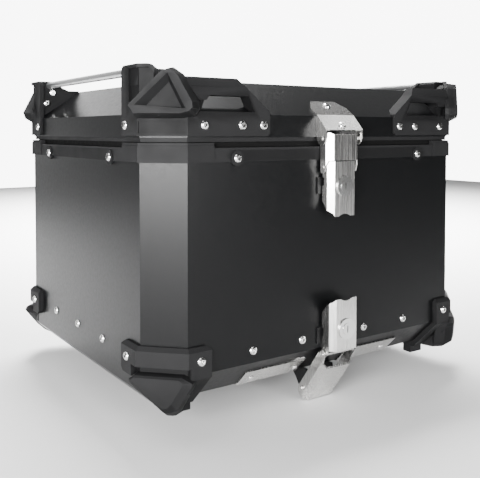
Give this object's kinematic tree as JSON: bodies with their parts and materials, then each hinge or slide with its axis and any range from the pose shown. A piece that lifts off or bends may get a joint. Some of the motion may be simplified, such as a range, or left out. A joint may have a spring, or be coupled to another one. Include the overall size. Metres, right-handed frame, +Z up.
{
  "type": "motorcycle top case",
  "caption": "Box-shaped aluminium motorcycle top case with a rear-hinged lid, plastic corner guards, carry rods and over-centre draw latches.",
  "frame": {"origin": "middle of the raised seat under the floor, where the case stands on its carrier", "axes": "+X to the case's right, -Y to its front (the latch side), +Z up"},
  "size_m": [0.457, 0.4113, 0.3598],
  "materials": {
    "guard_plastic": "fine-grained matte moulding",
    "rim_plastic": "matte moulding",
    "seal_rubber": "soft matt rubber",
    "black_sheet": "fine-textured powder coat on aluminium sheet",
    "rod_aluminium": "satin anodised",
    "black_steel": "semi-matt black coat",
    "screw_steel": "bright stainless",
    "lock_chrome": "polished",
    "latch_steel": "finely brushed stainless"
  },
  "bodies": {
    "case_body": {"back_panel": "black_sheet", "carrier_hook_left": "black_steel", "carrier_hook_right": "black_steel", "floor_pan": "black_sheet", "floor_screws": "screw_steel", "foot_front_left": "guard_plastic", "foot_front_right": "guard_plastic", "foot_rear_left": "guard_plastic", "foot_rear_right": "guard_plastic", "foot_screws": "screw_steel", "front_panel": "black_sheet", "hinge_body_leaf_left": "black_steel", "hinge_body_leaf_right": "black_steel", "hinge_body_screws": "screw_steel", "hinge_pin_left": "black_steel", "hinge_pin_right": "black_steel", "latch_base_bracket": "black_steel", "latch_catch": "black_steel", "left_side_panel": "black_sheet", "lower_catch": "black_steel", "lower_link_pin": "latch_steel", "right_side_panel": "black_sheet", "rim_corner_front_left": "rim_plastic", "rim_corner_front_right": "rim_plastic", "rim_corner_rear_left": "rim_plastic", "rim_corner_rear_right": "rim_plastic", "rim_front": "rim_plastic", "rim_left": "rim_plastic", "rim_rear": "rim_plastic", "rim_right": "rim_plastic", "rim_screws": "screw_steel", "trim_plate_left": "latch_steel", "trim_plate_right": "latch_steel", "trim_rivets": "screw_steel"},
    "lid": {"carry_rod_left": "rod_aluminium", "carry_rod_right": "rod_aluminium", "guard_screws": "screw_steel", "hinge_lid_leaf_left": "black_steel", "hinge_lid_leaf_right": "black_steel", "hinge_lid_screws": "screw_steel", "latch_bracket_screws": "screw_steel", "latch_lid_bracket": "latch_steel", "latch_lid_pin": "latch_steel", "lid_frame": "rim_plastic", "lid_guard_front_left": "guard_plastic", "lid_guard_front_right": "guard_plastic", "lid_guard_rear_left": "guard_plastic", "lid_guard_rear_right": "guard_plastic", "lid_seal": "seal_rubber", "lid_shell": "black_sheet"},
    "upper_link": {"latch_link": "latch_steel", "latch_lever_pin": "latch_steel"},
    "upper_lever": {"latch_lever": "latch_steel", "latch_lock_barrel": "lock_chrome"},
    "upper_lock_plug": {"latch_lock_plug": "lock_chrome"},
    "lower_link": {"lower_link": "latch_steel", "lower_lever_pin": "latch_steel"},
    "lower_lever": {"lower_lever": "latch_steel", "lower_lock_barrel": "lock_chrome"},
    "lower_lock_plug": {"lower_lock_plug": "lock_chrome"}
  },
  "joints": [
    {"name": "lid_hinge", "type": "hinge", "parent": "case_body", "child": "lid", "pos_m": [0, 0.1946, 0.253], "axis": [-1, 0, 0], "range_deg": [0, 90]},
    {"name": "upper_link_pivot", "type": "hinge", "parent": "lid", "child": "upper_link", "pos_m": [0, -0.196, 0.254], "axis": [-1, 0, 0], "range_deg": [0, 70]},
    {"name": "upper_lever_pivot", "type": "hinge", "parent": "upper_link", "child": "upper_lever", "pos_m": [0, -0.1936, 0.224], "axis": [-1, 0, 0], "range_deg": [0, 62]},
    {"name": "upper_lock_turn", "type": "hinge", "parent": "upper_lever", "child": "upper_lock_plug", "pos_m": [0, -0.2036, 0.204], "axis": [0, 1, 0], "range_deg": [0, 90]},
    {"name": "lower_link_pivot", "type": "hinge", "parent": "case_body", "child": "lower_link", "pos_m": [0, -0.16, -0.021], "axis": [1, 0, 0], "range_deg": [0, 60]},
    {"name": "lower_lever_pivot", "type": "hinge", "parent": "lower_link", "child": "lower_lever", "pos_m": [0, -0.1936, 0.025], "axis": [1, 0, 0], "range_deg": [0, 80]},
    {"name": "lower_lock_turn", "type": "hinge", "parent": "lower_lever", "child": "lower_lock_plug", "pos_m": [0, -0.2075, 0.0525], "axis": [0, 1, 0], "range_deg": [0, 90]}
  ]
}
